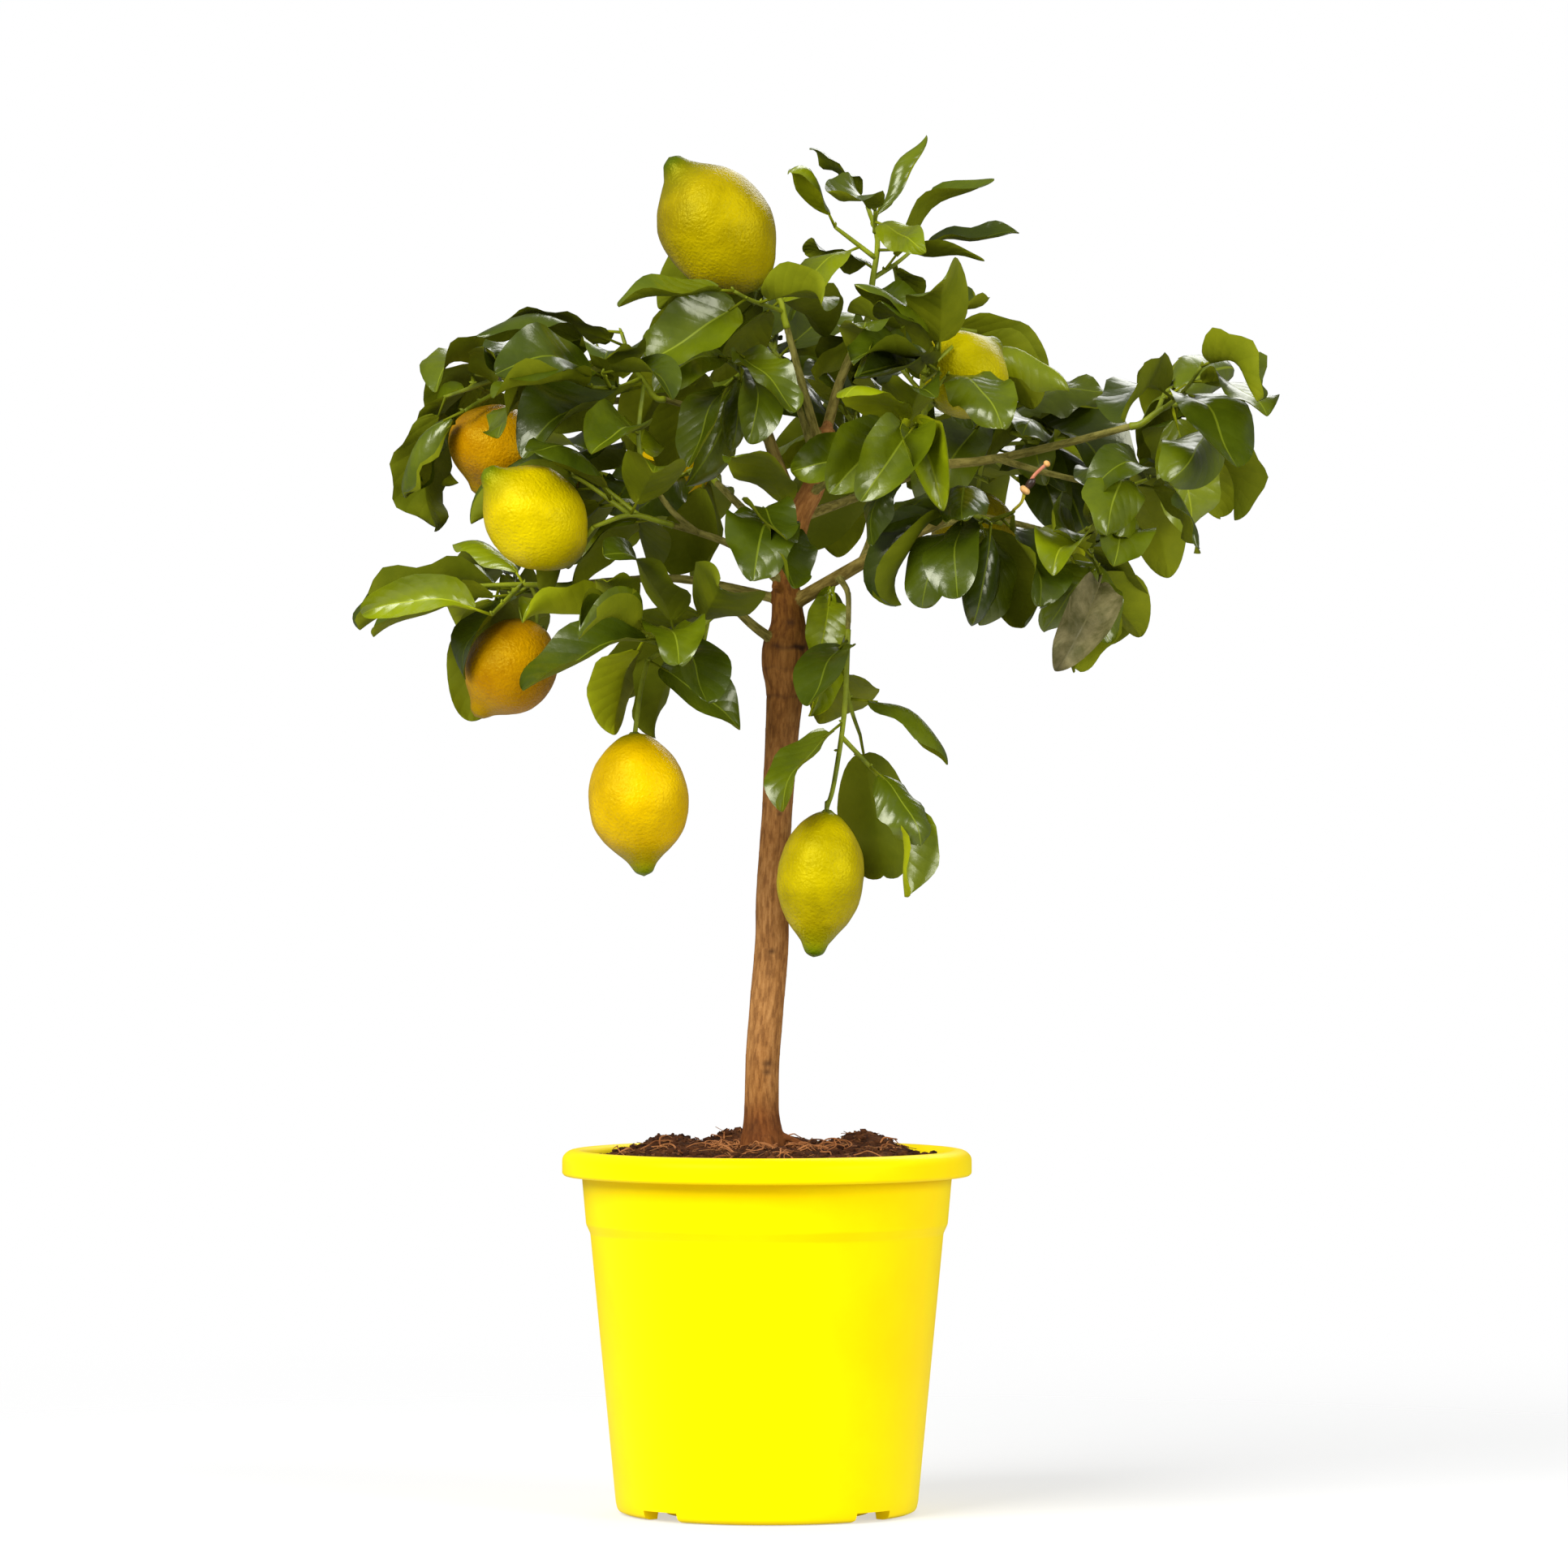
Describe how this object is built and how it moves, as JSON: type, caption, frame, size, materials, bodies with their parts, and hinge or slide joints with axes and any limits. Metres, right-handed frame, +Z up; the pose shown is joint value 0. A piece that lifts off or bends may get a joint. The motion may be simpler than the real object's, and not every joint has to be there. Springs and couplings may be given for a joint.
{
  "type": "potted lemon tree",
  "caption": "Small grafted lemon tree with drooping glossy leaves and ripe lemons, growing in compost in a round yellow plastic pot with a rolled rim.",
  "frame": {"origin": "middle of the pot's flat underside, on the surface that the pot stands on", "axes": "+Z up along the pot's axis, -Y towards the side that the picture shows, +X to the right of that view"},
  "size_m": [0.5284, 0.3871, 0.8042],
  "materials": {
    "pot": "satin yellow moulded plastic",
    "compost": "damp dark brown potting compost with fibres",
    "bark": "matt brown bark with fine upright streaks",
    "foliage": "glossy dark green leaves on green twigs, with yellow lemons"
  },
  "bodies": {
    "root": {"pot": "pot", "soil": "compost", "trunk": "bark", "bough_low_left": "bark", "bough_left": "bark", "bough_mid_left": "bark", "bough_shoot": "bark", "bough_upper_left": "bark", "bough_far_left": "bark", "bough_inner_left": "bark", "bough_top_left": "bark", "bough_top": "bark", "bough_top_right": "bark", "bough_upper_right": "bark", "bough_far_right": "bark", "bough_outer_right": "bark", "bough_right": "bark", "bough_low_right": "bark", "bough_hanging": "bark", "bough_back_centre": "bark", "bough_back_left": "bark", "bough_back_right": "bark", "bough_back_top": "bark", "bough_centre": "bark", "bough_front": "bark", "foliage_top": "foliage", "foliage_top_left": "foliage", "foliage_upper_left": "foliage", "foliage_inner_left": "foliage", "foliage_far_left": "foliage", "foliage_mid_left": "foliage", "foliage_left": "foliage", "foliage_low_left": "foliage", "foliage_shoot": "foliage", "foliage_centre": "foliage", "foliage_front": "foliage", "foliage_hanging": "foliage", "foliage_right": "foliage", "foliage_low_right": "foliage", "foliage_upper_right": "foliage", "foliage_top_right": "foliage", "foliage_far_right": "foliage", "foliage_outer_right": "foliage", "foliage_back_centre": "foliage", "foliage_back_left": "foliage", "foliage_back_right": "foliage", "foliage_back_top": "foliage"}
  },
  "joints": []
}
